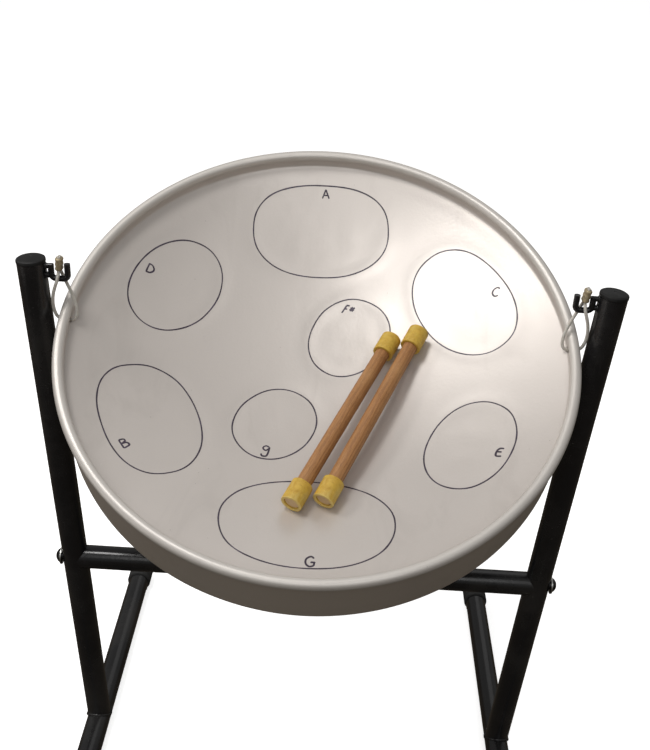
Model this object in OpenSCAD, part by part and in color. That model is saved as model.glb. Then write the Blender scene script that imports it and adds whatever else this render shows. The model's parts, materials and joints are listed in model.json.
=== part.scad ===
// Small steel pan hung by two cord loops from a two-post tube stand, with a pair of mallets
// lying in its bowl. Millimetres, +Z up. The origin is on the floor, midway between the posts,
// in the posts' own plane. -Y is the player's side.

/* [Pan] */
// Outside diameter of the pan over its rolled rim
pan_d = 406; // [396:1:412]
// Diameter of the rolled rim's bead
bead_d = 8.6; // [8:0.1:9.4]
// Thickness of the bowl's and the skirt's sheet
sheet_t = 1.2; // [1:0.1:1.5]
// Depth of the bowl's lowest point below the bead's centre
bowl_depth = 60; // [50:1:70]
// Depth of the upright wall between the bead's centre and the dish
wall_drop = 9; // [8.5:0.5:11]
// Depth of the skirt's lower edge below the bead's centre
skirt_depth = 54; // [46:1:60]
// Tilt of the hanging pan towards the player, in degrees
pan_tilt = 28; // [26:0.5:30]

/* [Suspension] */
// Distance of the two cord holes behind the pan's middle
hole_back = 10.6; // [9:0.1:12]
// Distance of the cord holes below the bead's centre
hole_drop = 7; // [6.8:0.1:7.4]
// Diameter of the cord holes
hole_d = 5; // [4.4:0.1:5]
// Diameter of the plastic-coated cord
cord_d = 2.6; // [2:0.1:2.8]
// Length of each crimped ferrule
crimp_len = 10; // [8:0.5:12]
// Lean of the left ferrule away from the pan, in degrees
left_lean = -4; // [-8:1:8]
// Lean of the right ferrule away from the pan, in degrees
right_lean = 8; // [-8:1:8]

/* [Stand] */
// Height of the tops of the posts above the floor
stand_h = 500; // [470:5:560]
// Distance between the posts' centres at their tops
post_gap = 446; // [444:1:450]
// Outside diameter of the post tubes
post_d = 22; // [21:0.5:23]
// Wall thickness of all the stand's tubes
tube_wall = 1.5; // [1.2:0.1:2]
// Lean of each post, top outwards, in degrees
post_lean = 3; // [2:0.5:3.5]
// Outside diameter of the cross bar
bar_d = 21; // [20:0.5:22]
// Distance of the cross bar's axis below the tops of the posts
bar_drop = 287; // [240:1:320]
// Length of each foot bar without its rubber feet
foot_len = 440; // [420:10:500]

/* [Mallets] */
// Length of a mallet over both tips
mallet_len = 180; // [160:5:190]
// Diameter of the wooden stick
stick_d = 12; // [11:0.5:13]
// Outside diameter of a rubber tip
tip_d = 17; // [15:0.5:17]
// Length of a rubber tip
tip_len = 19; // [16:1:24]

/* [Hidden] */
$fn = 96;
eps = 0.05;

LEFT = -1;
RIGHT = 1;
FRONT = -1;
REAR = 1;
BLACK = [0.05, 0.05, 0.055];
SILVER = [0.72, 0.70, 0.68];

// Stand
post_r = post_d / 2;
bore_r = post_r - tube_wall;
cap_lip = 3;
cap_dome = 1.6;
cap_stub = 14;
foot_r = 13;
foot_x = post_gap / 2 - (stand_h - foot_r) * tan(post_lean);
bar_z = stand_h - bar_drop;
bar_x = post_gap / 2 - bar_drop * tan(post_lean);
bar_r = bar_d / 2;
bolt_r = 4;
bolt_len = 40;
washer_r = 8;
washer_t = 1.2;
insert_len = 24;
seat_gap = 0.5;

// Hook: a round rod bent to a U, with a stub that holds it off the post
rod_r = 2.4;
hook_x = 201.5;
hook_z = stand_h - 15.5;
leg_gap = 12.6;
bend_r = 3.6;
outer_leg_top = stand_h - 3;
inner_leg_top = stand_h - 4;
upper_stub_z = outer_leg_top - rod_r;
lower_stub_z = stand_h - 13;

// Pan, whose frame has its origin at the middle of the bead's circle
pan_r = pan_d / 2;
bead_r = bead_d / 2;
ring_r = pan_r - bead_r;
wall_r = ring_r - 2.5;
skirt_r = pan_r - 1.5;
dish_rise = bowl_depth - wall_drop;
dish_r = (wall_r * wall_r + dish_rise * dish_rise) / (2 * dish_rise);
dish_z = dish_r - bowl_depth;
hang_z = stand_h - 50;

// Cord loops: points of the right-hand loop, as seen from the hook's lowest rod centre.
// The outer strand comes down before the rod and goes through the pan's wall at hole height.
// The inner strand rises inside the bowl, passes over the rim and goes up behind the rod.
hole_rel_z = hang_z - hook_z;
strand_y = 1.4;
crimp_z = 7.5;
function ferrule_point(y, up, lean) = [up * sin(lean), y, crimp_z + up * cos(lean)];
function loop_route(lean) = [
    ferrule_point(-strand_y, crimp_len + 1, lean), ferrule_point(-strand_y, 4, lean),
    ferrule_point(-strand_y, 0, lean), [0.4, -3.4, 3.6], [1.2, -4.4, 0], [2.6, -4.6, -4],
    [4.6, -4.2, -10], [5.8, -3.4, -16], [6.2, -2.4, -22], [5.7, -1.4, -27.4],
    [4.2, -0.6, -31.8], [1.4, -0.1, -34], [-2, 0, hole_rel_z], [-6.5, 0, hole_rel_z],
    [-9.4, 0, -33.4], [-10.9, 0.2, -30.4], [-11.1, 0.6, -26], [-10.2, 1.3, -20.5],
    [-7.8, 2.4, -13.5], [-4.6, 3.6, -6.5], [-1.9, 4.5, -0.6], [-0.6, 3.8, 3.6],
    ferrule_point(strand_y, 0, lean), ferrule_point(strand_y, 4, lean),
    ferrule_point(strand_y, crimp_len + 1, lean)
];
cord_sides = 8;

// Mallets lie on the dish: [direction from the middle, angle from the bottom, heading]
left_mallet = [-61.7, 7.5, 128.1];
right_mallet = [-40, 9.1, 106.8];
tip_reach = 1.5;
rest_gap = 0.3;
mallet_h = sqrt(pow(dish_r - rest_gap, 2) - pow(mallet_len / 2, 2)) - tip_d / 2;

// A cylinder along X, centred on its length
module rod_x(r, len) {
    rotate([0, 90, 0]) cylinder(r = r, h = len, center = true);
}

// A cylinder along Y, centred on its length
module rod_y(r, len) {
    rotate([90, 0, 0]) cylinder(r = r, h = len, center = true);
}

// Places its children on a post's axis, measured down from the top
module on_post(side) {
    translate([side * post_gap / 2, 0, stand_h]) rotate([0, side * post_lean, 0]) children();
}

// Places its children in the pan's own frame
module on_pan() {
    translate([0, 0, hang_z]) rotate([pan_tilt, 0, 0]) translate([0, -hole_back, hole_drop])
        children();
}

module post(side) {
    cut = post_d * 3;
    color(BLACK) difference() {
        on_post(side) translate([0, 0, -stand_h * 1.1]) difference() {
            cylinder(r = post_r, h = stand_h * 1.1 - cap_lip);
            translate([0, 0, -1]) cylinder(r = bore_r, h = stand_h * 1.1);
        }
        translate([side * foot_x, 0, foot_r]) rod_y(post_r + eps, cut);
        translate([side * foot_x, 0, foot_r - cut / 2]) cube(cut, center = true);
        translate([side * bar_x, 0, bar_z]) rod_x(bolt_r + 0.2, cut);
    }
}

module post_cap(side) {
    dome_r = (post_r * post_r + cap_dome * cap_dome) / (2 * cap_dome);
    color([0.10, 0.10, 0.10]) on_post(side) {
        translate([0, 0, -cap_lip - cap_stub]) cylinder(r = bore_r - eps, h = cap_stub);
        translate([0, 0, -cap_lip]) cylinder(r = post_r + 0.3, h = cap_lip);
        rotate_extrude() intersection() {
            translate([0, cap_dome - dome_r]) circle(r = dome_r, $fn = 240);
            square([post_r, cap_dome]);
        }
    }
}

// A quarter bend of the hook's rod, from straight down to straight along X
module rod_bend() {
    rotate([90, 0, 0]) rotate_extrude(angle = 90) translate([bend_r, 0]) circle(r = rod_r, $fn = 48);
}

module hook(side) {
    half = leg_gap / 2;
    knee = hook_z + bend_r;
    color(BLACK) translate([side * hook_x, 0, 0]) mirror([side < 0 ? 1 : 0, 0, 0]) {
        translate([0, 0, hook_z]) rod_x(rod_r, leg_gap - 2 * bend_r);
        translate([half - bend_r, 0, knee]) mirror([0, 0, 1]) rod_bend();
        translate([bend_r - half, 0, knee]) rotate([0, 180, 0]) rod_bend();
        translate([-half, 0, knee]) cylinder(r = rod_r, h = outer_leg_top - knee, $fn = 48);
        translate([half, 0, knee]) cylinder(r = rod_r, h = inner_leg_top - knee, $fn = 48);
        for (z = [lower_stub_z, upper_stub_z]) difference() {
            translate([half + rod_r * 0.8, 0, z]) rod_x(rod_r * 0.9, rod_r * 2.6);
            translate([-hook_x, 0, 0]) on_post(RIGHT) cylinder(r = post_r + eps, h = 60, center = true);
        }
    }
}

module cross_bar() {
    color(BLACK) difference() {
        translate([0, 0, bar_z]) rod_x(bar_r, 2 * bar_x);
        translate([0, 0, bar_z]) rod_x(bar_r - tube_wall, 2 * bar_x + 2);
        for (side = [LEFT, RIGHT]) on_post(side)
            translate([0, 0, -stand_h]) cylinder(r = post_r + eps, h = stand_h);
    }
}

module cross_bar_inserts() {
    color([0.25, 0.25, 0.26]) for (side = [LEFT, RIGHT]) difference() {
        translate([side * (bar_x - post_r - 2 - insert_len / 2), 0, bar_z]) difference() {
            rod_x(bar_r - tube_wall - eps, insert_len);
            rod_x(bolt_r + eps, insert_len + 2);
        }
        on_post(side) translate([0, 0, -stand_h]) cylinder(r = post_r + eps, h = stand_h);
    }
}

module cross_bar_bolts() {
    head_r = 7;
    head_h = 4;
    color([0.13, 0.13, 0.14]) for (side = [LEFT, RIGHT])
        translate([side * (bar_x + post_r + seat_gap + washer_t), 0, bar_z]) rotate([0, side * 90, 0]) {
            translate([0, 0, -bolt_len]) cylinder(r = bolt_r, h = bolt_len + eps);
            difference() {
                rotate_extrude() intersection() {
                    translate([0, -3]) circle(r = head_r + 0.6);
                    square([head_r, head_h]);
                }
                translate([0, 0, head_h - 2.4]) cylinder(r = 2.9, h = 4, $fn = 6);
            }
        }
}

module cross_bar_washers() {
    color([0.35, 0.35, 0.36]) for (side = [LEFT, RIGHT])
        translate([side * (bar_x + post_r + seat_gap + washer_t / 2), 0, bar_z]) difference() {
            rod_x(washer_r, washer_t);
            rod_x(bolt_r + 0.2, washer_t + 2);
        }
}

module foot_bar(side) {
    color(BLACK) translate([side * foot_x, 0, foot_r]) difference() {
        rod_y(post_r, foot_len);
        rod_y(bore_r, foot_len + 2);
    }
}

module foot(side, end) {
    sleeve = 20;
    wall = 3;
    pad_w = 18;
    mid = foot_len / 2 - sleeve / 2 + wall / 2;
    color([0.08, 0.08, 0.08]) translate([side * foot_x, end * mid, foot_r]) difference() {
        union() {
            rod_y(foot_r, sleeve + wall);
            translate([-pad_w / 2, -(sleeve + wall) / 2, -foot_r]) cube([pad_w, sleeve + wall, foot_r]);
        }
        translate([0, -end * (wall / 2 + 1), 0]) rod_y(post_r + eps, sleeve + 2);
    }
}

// The bead as an outline in the plane of radius and height
module bead_outline(extra = 0) {
    translate([ring_r, 0]) circle(r = bead_r + extra);
}

// Both cord holes of the pan, as cutting rods in the pan's frame
module cord_holes() {
    for (side = [LEFT, RIGHT]) translate([side * ring_r, hole_back, -hole_drop]) rod_x(hole_d / 2, 30);
}

module playing_bowl() {
    color(SILVER) on_pan() difference() {
        rotate_extrude($fn = 240) difference() {
            union() {
                intersection() {
                    translate([0, dish_z]) difference() {
                        circle(r = dish_r + sheet_t, $fn = 720);
                        circle(r = dish_r, $fn = 720);
                    }
                    translate([0, -bowl_depth * 2]) square([wall_r + sheet_t, bowl_depth * 2 - wall_drop]);
                }
                translate([wall_r, -wall_drop - sheet_t]) square([sheet_t, wall_drop]);
            }
            bead_outline(eps);
        }
        cord_holes();
    }
}

module skirt() {
    color(SILVER) on_pan() difference() {
        rotate_extrude($fn = 240) difference() {
            translate([skirt_r - sheet_t, -skirt_depth]) square([sheet_t, skirt_depth - 1]);
            bead_outline(eps);
        }
        cord_holes();
    }
}

module rolled_rim() {
    color(SILVER) on_pan() rotate_extrude($fn = 240) difference() {
        bead_outline();
        bead_outline(-sheet_t);
    }
}

// Catmull-Rom point between p[i] and p[i + 1]
function curve_point(p, i, t) =
    let (a = p[max(i - 1, 0)], b = p[i], c = p[i + 1], d = p[min(i + 2, len(p) - 1)])
    0.5 * (2 * b + (c - a) * t + (2 * a - 5 * b + 4 * c - d) * t * t
        + (3 * b - a - 3 * c + d) * t * t * t);

// The route with one more point halfway along each curved span
function smooth_route(p) = concat(
    [for (i = [0 : len(p) - 2]) each (i < 2 || i > len(p) - 4)
        ? [p[i]] : [p[i], curve_point(p, i, 0.5)]],
    [p[len(p) - 1]]);

function unit(v) = v / norm(v);
function along(p, i) = unit(p[min(i + 1, len(p) - 1)] - p[max(i - 1, 0)]);

// Side direction carried along the route without twist
function side_dir(p, i) = i == 0 ? [1, 0, 0]
    : let (t = along(p, i), s = side_dir(p, i - 1)) unit(s - t * (s * t));

module swept_cord(p, r) {
    sides = [for (i = [0 : len(p) - 1]) side_dir(p, i)];
    rings = [for (i = [0 : len(p) - 1]) for (k = [0 : cord_sides - 1])
        let (a = 360 * k / cord_sides, t = along(p, i))
        p[i] + r * (cos(a) * sides[i] + sin(a) * cross(t, sides[i]))];
    last = (len(p) - 1) * cord_sides;
    walls = [for (i = [0 : len(p) - 2]) for (k = [0 : cord_sides - 1])
        let (n = (k + 1) % cord_sides, a = i * cord_sides)
        each [[a + k, a + cord_sides + k, a + n], [a + n, a + cord_sides + k, a + cord_sides + n]]];
    ends = [[for (k = [0 : cord_sides - 1]) k], [for (k = [cord_sides - 1 : -1 : 0]) last + k]];
    polyhedron(points = rings, faces = concat(walls, ends));
}

module cord_loop(side, lean) {
    color([0.72, 0.72, 0.70]) translate([side * hook_x, 0, hook_z]) mirror([side < 0 ? 1 : 0, 0, 0])
        swept_cord(smooth_route(loop_route(lean)), cord_d / 2);
}

module crimp(side, lean) {
    lobe_r = 3;
    color([0.70, 0.63, 0.52]) translate([side * hook_x, 0, hook_z + crimp_z]) rotate([0, side * lean, 0])
    difference() {
        union() {
            for (y = [-strand_y, strand_y]) translate([0, y, 0]) cylinder(r = lobe_r, h = crimp_len);
            translate([-lobe_r, -strand_y, 0]) cube([2 * lobe_r, 2 * strand_y, crimp_len]);
        }
        for (y = [-strand_y, strand_y]) translate([0, y, -1])
            cylinder(r = cord_d / 2 + eps, h = crimp_len + 2, $fn = 48);
    }
}

// Places its children on a mallet's middle, with +X along the stick and +Z out of the bowl
module on_mallet(place) {
    on_pan() translate([0, 0, dish_z]) rotate([0, 0, place[0]]) rotate([0, -place[1], 0])
        translate([0, 0, -mallet_h]) rotate([0, 0, place[2]]) children();
}

module mallet_stick(place) {
    color([0.62, 0.42, 0.25]) on_mallet(place) rod_x(stick_d / 2, mallet_len - 2 * tip_reach);
}

module mallet_tip(place, end) {
    color([0.80, 0.66, 0.22]) on_mallet(place) translate([end * (mallet_len - tip_len) / 2, 0, 0])
        difference() {
            rod_x(tip_d / 2, tip_len);
            rod_x(stick_d / 2 + eps, tip_len + 2);
        }
}

post(LEFT);  // left_post
post(RIGHT);  // right_post
post_cap(LEFT);  // left_post_cap
post_cap(RIGHT);  // right_post_cap
hook(LEFT);  // left_hook
hook(RIGHT);  // right_hook
cross_bar();
cross_bar_inserts();
cross_bar_bolts();
cross_bar_washers();
foot_bar(LEFT);  // left_foot_bar
foot_bar(RIGHT);  // right_foot_bar
foot(LEFT, FRONT);  // left_front_foot
foot(LEFT, REAR);  // left_rear_foot
foot(RIGHT, FRONT);  // right_front_foot
foot(RIGHT, REAR);  // right_rear_foot
playing_bowl();
skirt();
rolled_rim();
cord_loop(LEFT, left_lean);  // left_cord_loop
crimp(LEFT, left_lean);  // left_crimp
cord_loop(RIGHT, right_lean);  // right_cord_loop
crimp(RIGHT, right_lean);  // right_crimp
mallet_stick(left_mallet);  // left_mallet_stick
mallet_tip(left_mallet, FRONT);  // left_mallet_front_tip
mallet_tip(left_mallet, REAR);  // left_mallet_back_tip
mallet_stick(right_mallet);  // right_mallet_stick
mallet_tip(right_mallet, FRONT);  // right_mallet_front_tip
mallet_tip(right_mallet, REAR);  // right_mallet_back_tip
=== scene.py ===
import json
import math

import bmesh
import bpy
from mathutils import Matrix, Vector, noise


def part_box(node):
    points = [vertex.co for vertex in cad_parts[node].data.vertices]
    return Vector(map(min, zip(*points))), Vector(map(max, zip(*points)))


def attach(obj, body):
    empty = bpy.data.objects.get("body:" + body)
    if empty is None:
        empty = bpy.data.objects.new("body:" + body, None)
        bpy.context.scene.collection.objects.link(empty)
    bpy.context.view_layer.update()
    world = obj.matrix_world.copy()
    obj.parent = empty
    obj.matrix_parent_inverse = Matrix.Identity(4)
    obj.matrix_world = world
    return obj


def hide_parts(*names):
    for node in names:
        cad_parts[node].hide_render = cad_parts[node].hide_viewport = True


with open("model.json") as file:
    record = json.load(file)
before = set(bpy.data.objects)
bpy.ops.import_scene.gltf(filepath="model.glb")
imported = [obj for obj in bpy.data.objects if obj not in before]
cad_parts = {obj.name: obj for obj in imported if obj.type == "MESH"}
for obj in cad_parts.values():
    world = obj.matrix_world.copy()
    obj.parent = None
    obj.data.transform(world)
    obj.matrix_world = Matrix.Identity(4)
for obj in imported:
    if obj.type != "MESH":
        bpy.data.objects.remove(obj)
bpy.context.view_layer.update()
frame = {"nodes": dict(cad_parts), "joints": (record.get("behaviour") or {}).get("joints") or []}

MM = 0.001
JOINTS = {joint["name"]: joint for joint in frame["joints"]}
SIDES = {"left": -1, "right": 1}

# ---------------------------------------------------------------- the pan's own frame
# Its origin is the middle of the rim's circle, and +Z points out of the bowl.
rim_low, rim_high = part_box("rolled_rim")
PAN_R = (rim_high.x - rim_low.x) / 2
PAN_AXIS = Vector(JOINTS["left_mallet_lift"]["axis"]).normalized()
PAN = Matrix.Translation((rim_low + rim_high) / 2) @ Matrix(
    (Vector((1, 0, 0)), PAN_AXIS.cross(Vector((1, 0, 0))), PAN_AXIS)
).transposed().to_4x4()

BEAD_R = 4.3 * MM
SHEET = 1.2 * MM
BOWL_DEPTH = 60 * MM
WALL_DROP = 9 * MM
SKIRT_DEPTH = 54 * MM
RING_R = PAN_R - BEAD_R
WALL_R = RING_R - 2.5 * MM
SKIRT_R = PAN_R - 1.5 * MM
DISH_RISE = BOWL_DEPTH - WALL_DROP
DISH_R = (WALL_R ** 2 + DISH_RISE ** 2) / (2 * DISH_RISE)
DISH_Z = DISH_R - BOWL_DEPTH
FILLET_R = 2.6 * MM
HOLE_BACK = 10.6 * MM
HOLE_DROP = 7 * MM
HOLE_R = 2.5 * MM
PAN_STEPS = 320

# The notes: distance and direction of the middle, half sizes outwards and across, squareness,
# how much wider the outer side is, and the note's letter with its place, turn and height.
# All are in millimetres and degrees, in the pan's own frame.
NOTES = {
    "A": (140, 92, 40, 59, 2.35, 0.00, ("A", -3, 173, 2, 7.2)),
    "D": (142, 150, 33, 46, 2.05, 0.00, ("D", -145, 80, -14, 8)),
    "B": (138.5, -155, 36.5, 51.5, 2.25, 0.05, ("B", -140, -87, 40, 8)),
    "C": (138, 31, 36, 53, 2.15, 0.04, ("C", 145, 78, -16, 8)),
    "E": (137, -28, 31, 43, 2.1, 0.00, ("E", 142, -74, -16, 8)),
    "G": (139, -90, 41, 64, 2.2, -0.02, ("G", 4, -173.5, -2, 9)),
    "high_G": (54, -125, 36, 31, 2.05, 0.00, ("g", -36, -71.5, -6, 10)),
    "F_sharp": (50, 61, 38, 32, 2.1, 0.05, ("F#", 24, 71, -12, 8)),
}
RIM_OF_NOTE_DEPTH = 0.32 * MM
RIM_OF_NOTE_WIDTH = 7 * MM
# The relief ends at this distance from the pan's middle, and fades out over this width
RELIEF_R = 184 * MM
RELIEF_FADE = 6 * MM
INK_WIDTH = 1.15 * MM
PEN_WIDTH = 1.4 * MM
INK_PROUD = 0.06 * MM


# ---------------------------------------------------------------- mesh helpers
CORNER_POINTS = 5


def catmull(points, steps):
    """The points as one smooth line, with steps pieces between each two."""
    found = [Vector(p) for p in points]
    last = len(found) - 1
    line = []
    for i in range(last):
        a, b, c, d = (found[min(max(i + k, 0), last)] for k in (-1, 0, 1, 2))
        for s in range(steps):
            t = s / steps
            line.append(0.5 * (2 * b + (c - a) * t + (2 * a - 5 * b + 4 * c - d) * t * t
                               + (3 * b - a - 3 * c + d) * t ** 3))
    line.append(found[-1])
    return line


def soften(points, radius, loop=False):
    """A flat outline with each corner rounded off, CORNER_POINTS points to a corner."""
    found = [Vector(p) for p in points]
    count = len(found)
    line = []
    for i, corner in enumerate(found):
        if not loop and i in (0, count - 1):
            line.append(corner)
            continue
        before, after = found[i - 1] - corner, found[(i + 1) % count] - corner
        a = corner + before * min(radius / before.length, 0.49)
        b = corner + after * min(radius / after.length, 0.49)
        for s in range(CORNER_POINTS):
            t = s / (CORNER_POINTS - 1)
            line.append(a * (1 - t) ** 2 + corner * 2 * t * (1 - t) + b * t * t)
    return line


def strip(a, b):
    """The faces between two rows of vertices that close on themselves; a row may be one point."""
    count = max(len(a), len(b))
    faces = []
    for i in range(count):
        j = (i + 1) % count
        ring = [a[i % len(a)], a[j % len(a)], b[j % len(b)], b[i % len(b)]]
        faces.append(tuple(dict.fromkeys(ring)))
    return faces


def skin(rings, loop=False):
    """One closed solid through a list of rings of points, all of one length or single points."""
    verts, rows, faces = [], [], []
    for ring in rings:
        rows.append(list(range(len(verts), len(verts) + len(ring))))
        verts.extend(tuple(p) for p in ring)
    for a, b in zip(rows, rows[1:] + (rows[:1] if loop else [])):
        faces.extend(strip(a, b))
    if not loop:
        faces.extend(tuple(row) for row in (rows[0], rows[-1]) if len(row) > 2)
    return verts, faces


def revolve(profile, steps, loop=False):
    """A solid of revolution about Z from (radius, height) points."""
    rings = []
    for r, z in profile:
        if r < 1e-9:
            rings.append([(0, 0, z)])
        else:
            turns = (2 * math.pi * i / steps for i in range(steps))
            rings.append([(r * math.cos(a), r * math.sin(a), z) for a in turns])
    return skin(rings, loop)


def sweep(line, radius, sides, loop=False):
    """A tube along a line. radius is a number or a function of the point's index."""
    count = len(line)
    across = Vector((1, 0, 0))
    rings = []
    for i, point in enumerate(line):
        after = line[(i + 1) % count] if loop else line[min(i + 1, count - 1)]
        before = line[i - 1] if loop or i else line[0]
        along = (after - before).normalized()
        if abs(along.dot(across)) > 0.95:
            across = Vector((0, 1, 0))
        across = (across - along * across.dot(along)).normalized()
        other = along.cross(across)
        r = radius(i) if callable(radius) else radius
        turns = (2 * math.pi * k / sides for k in range(sides))
        rings.append([point + r * (math.cos(a) * across + math.sin(a) * other) for a in turns])
    return skin(rings, loop)


def join(*solids):
    """Several (verts, faces) as one."""
    verts, faces = [], []
    for more_verts, more_faces in solids:
        base = len(verts)
        verts.extend(more_verts)
        faces.extend(tuple(base + i for i in face) for face in more_faces)
    return verts, faces


def piece(name, solid, body, material, place=None, stands_for=(), sharp=35):
    """Makes a closed mesh, puts it in place and lets it ride on its CAD body."""
    mesh = bpy.data.meshes.new(name)
    mesh.from_pydata([tuple(v) for v in solid[0]], [], solid[1])
    shell = bmesh.new()
    shell.from_mesh(mesh)
    bmesh.ops.recalc_face_normals(shell, faces=shell.faces)
    shell.to_mesh(mesh)
    shell.free()
    mesh.shade_smooth()
    mesh.set_sharp_from_angle(angle=math.radians(sharp))
    mesh.materials.append(material)
    made = bpy.data.objects.new(name, mesh)
    bpy.context.scene.collection.objects.link(made)
    if place is not None:
        made.matrix_world = place
    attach(made, body)
    if stands_for:
        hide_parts(*stands_for)
    return made


def drill(made, cutters):
    """Cuts the cutters' shapes out of a piece's mesh for good."""
    tools = []
    for i, solid in enumerate(cutters):
        mesh = bpy.data.meshes.new("cutter")
        mesh.from_pydata([tuple(v) for v in solid[0]], [], solid[1])
        tool = bpy.data.objects.new(f"cutter_{i}", mesh)
        tool.matrix_world = made.matrix_world
        bpy.context.scene.collection.objects.link(tool)
        tools.append(tool)
        cut = made.modifiers.new(tool.name, "BOOLEAN")
        cut.operation = "DIFFERENCE"
        cut.solver = "EXACT"
        cut.object = tool
    bpy.context.view_layer.update()
    solid = made.evaluated_get(bpy.context.evaluated_depsgraph_get())
    done = bpy.data.meshes.new_from_object(solid)
    made.modifiers.clear()
    made.data = done
    for tool in tools:
        bpy.data.objects.remove(tool)


# ---------------------------------------------------------------- material helpers
def srgb(r, g, b):
    """A colour given as 0 to 255 on a screen, as Blender's linear colour."""
    def linear(c):
        c = c / 255
        return c / 12.92 if c <= 0.04045 else ((c + 0.055) / 1.055) ** 2.4
    return linear(r), linear(g), linear(b), 1.0


# Where a mallet's stick and tips end, from the mallet's middle
STICK_END = 88.5 * MM
TIP_END = 90 * MM


class Finish:
    """A node-based material, built up one step at a time."""

    def __init__(self, name, colour, roughness, **constants):
        self.material = bpy.data.materials.new(name)
        self.material.use_nodes = True
        self.tree = self.material.node_tree
        self.shader = self.tree.nodes["Principled BSDF"]
        self.where = self.add("TexCoord").outputs["Object"]
        self.colour = colour
        self.height = None
        self.set("Base Color", colour)
        self.set("Roughness", roughness)
        for key, value in constants.items():
            self.set(key.replace("_", " "), value)

    def set(self, socket, value):
        if isinstance(value, bpy.types.NodeSocket):
            self.tree.links.new(value, self.shader.inputs[socket])
        else:
            self.shader.inputs[socket].default_value = value

    def add(self, kind, settings=None, inputs=None):
        made = self.tree.nodes.new("ShaderNode" + kind)
        for key, value in (settings or {}).items():
            setattr(made, key, value)
        for key, value in (inputs or {}).items():
            if isinstance(value, bpy.types.NodeSocket):
                self.tree.links.new(value, made.inputs[key])
            else:
                made.inputs[key].default_value = value
        return made

    def stretched(self, scale, shift=(0, 0, 0), turn=(0, 0, 0)):
        inputs = {"Vector": self.where, "Scale": scale, "Location": shift, "Rotation": turn}
        return self.add("Mapping", None, inputs).outputs["Vector"]

    def noise(self, scale, detail=4, rough=0.55, where=None, distortion=0.0):
        inputs = {"Vector": where or self.where, "Scale": scale, "Detail": detail,
                  "Roughness": rough, "Distortion": distortion}
        return self.add("TexNoise", None, inputs).outputs["Fac"]

    def cells(self, scale):
        inputs = {"Vector": self.where, "Scale": scale}
        return self.add("TexVoronoi", {"feature": "F1"}, inputs).outputs["Distance"]

    def math(self, operation, a, b=0.5):
        return self.add("Math", {"operation": operation}, {0: a, 1: b}).outputs[0]

    def span(self, value, low, high, to_low=0.0, to_high=1.0):
        """value from low..high made to_low..to_high, held at its ends."""
        inputs = {"Value": value, "From Min": low, "From Max": high,
                  "To Min": to_low, "To Max": to_high}
        return self.add("MapRange", {"clamp": True}, inputs).outputs["Result"]

    def axis(self, letter):
        return self.add("SeparateXYZ", None, {"Vector": self.where}).outputs[letter]

    def mix(self, amount, a, b):
        made = self.add("Mix", {"data_type": "RGBA"}, {0: amount, 6: a, 7: b})
        return made.outputs[2]

    def tint(self, amount, colour):
        """Paints colour over what is there, as far as amount says."""
        self.colour = self.mix(amount, self.colour, colour)
        self.set("Base Color", self.colour)

    def bump(self, height, strength, distance):
        inputs = {"Height": height, "Strength": strength, "Distance": distance}
        made = self.add("Bump", None, inputs)
        if self.height is not None:
            self.tree.links.new(self.height, made.inputs["Normal"])
        self.height = made.outputs["Normal"]
        self.set("Normal", self.height)


def silver_paint(name, colour, roughness, scuffed):
    """Satin silver powder coat: fine metal flake, faint clouding, and scuffs."""
    f = Finish(name, colour, roughness, Metallic=0.36, Coat_Weight=0.10, Coat_Roughness=0.35)
    clouds = f.noise(9, 3, 0.5)
    f.tint(f.span(clouds, 0.35, 0.7, 0.0, 0.5), tuple(c * 0.90 for c in colour[:3]) + (1,))
    flake = f.cells(2600)
    f.tint(f.span(flake, 0.05, 0.30, 0.16, 0.0), (0.95, 0.94, 0.92, 1))
    smear = f.noise(1, 6, 0.62, f.stretched((26, 9, 20), turn=(0.2, 0.1, 0.7)), 0.8)
    grime = f.span(smear, 0.56, 0.74, 0.0, 0.10 * scuffed)
    f.tint(grime, srgb(112, 104, 96))
    fine = f.noise(1, 3, 0.6, f.stretched((900, 28, 300), turn=(0.0, 0.3, 0.55)))
    scratch = f.span(fine, 0.71, 0.76, 0.0, 0.35 * scuffed)
    f.tint(scratch, srgb(226, 224, 220))
    specks = f.cells(75)
    f.tint(f.span(specks, 0.018, 0.03, 0.5 * scuffed, 0.0), srgb(96, 86, 76))
    worn = f.math("ADD", f.span(clouds, 0.3, 0.75, -0.05, 0.06), roughness)
    worn = f.math("ADD", worn, f.math("MULTIPLY", smear, 0.05))
    f.set("Roughness", f.math("SUBTRACT", worn, f.math("MULTIPLY", scratch, 0.12)))
    f.bump(f.noise(420, 2, 0.5), 0.10, 0.0006)
    f.bump(f.noise(2400, 2, 0.5), 0.12, 0.0002)
    return f.material


def enamel(name, chips):
    """Gloss black enamel over steel tube, with dust, rubbed places and a few chips."""
    f = Finish(name, (0.010, 0.010, 0.011, 1), 0.30, Coat_Weight=0.15, Coat_Roughness=0.2)
    f.set("Specular IOR Level", 0.35)
    dust = f.noise(14, 5, 0.65)
    f.tint(f.span(dust, 0.45, 0.75, 0.0, 0.22), (0.085, 0.080, 0.074, 1))
    rub = f.noise(1, 6, 0.7, f.stretched((160, 160, 22)), 1.2)
    f.tint(f.span(rub, 0.60, 0.78, 0.0, 0.35), (0.055, 0.053, 0.051, 1))
    flaw = f.noise(230, 4, 0.7)
    bare = f.math("MULTIPLY", f.span(flaw, 0.69, 0.71), f.span(dust, 0.40, 0.62, 0.0, chips))
    f.tint(bare, (0.24, 0.22, 0.21, 1))
    rough = f.math("ADD", f.span(dust, 0.3, 0.8, 0.15, 0.40), f.math("MULTIPLY", bare, 0.2))
    f.set("Roughness", rough)
    f.bump(f.noise(260, 2, 0.4), 0.10, 0.0008)
    f.bump(f.math("SUBTRACT", 1.0, bare), 0.35, 0.0002)
    return f.material


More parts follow.
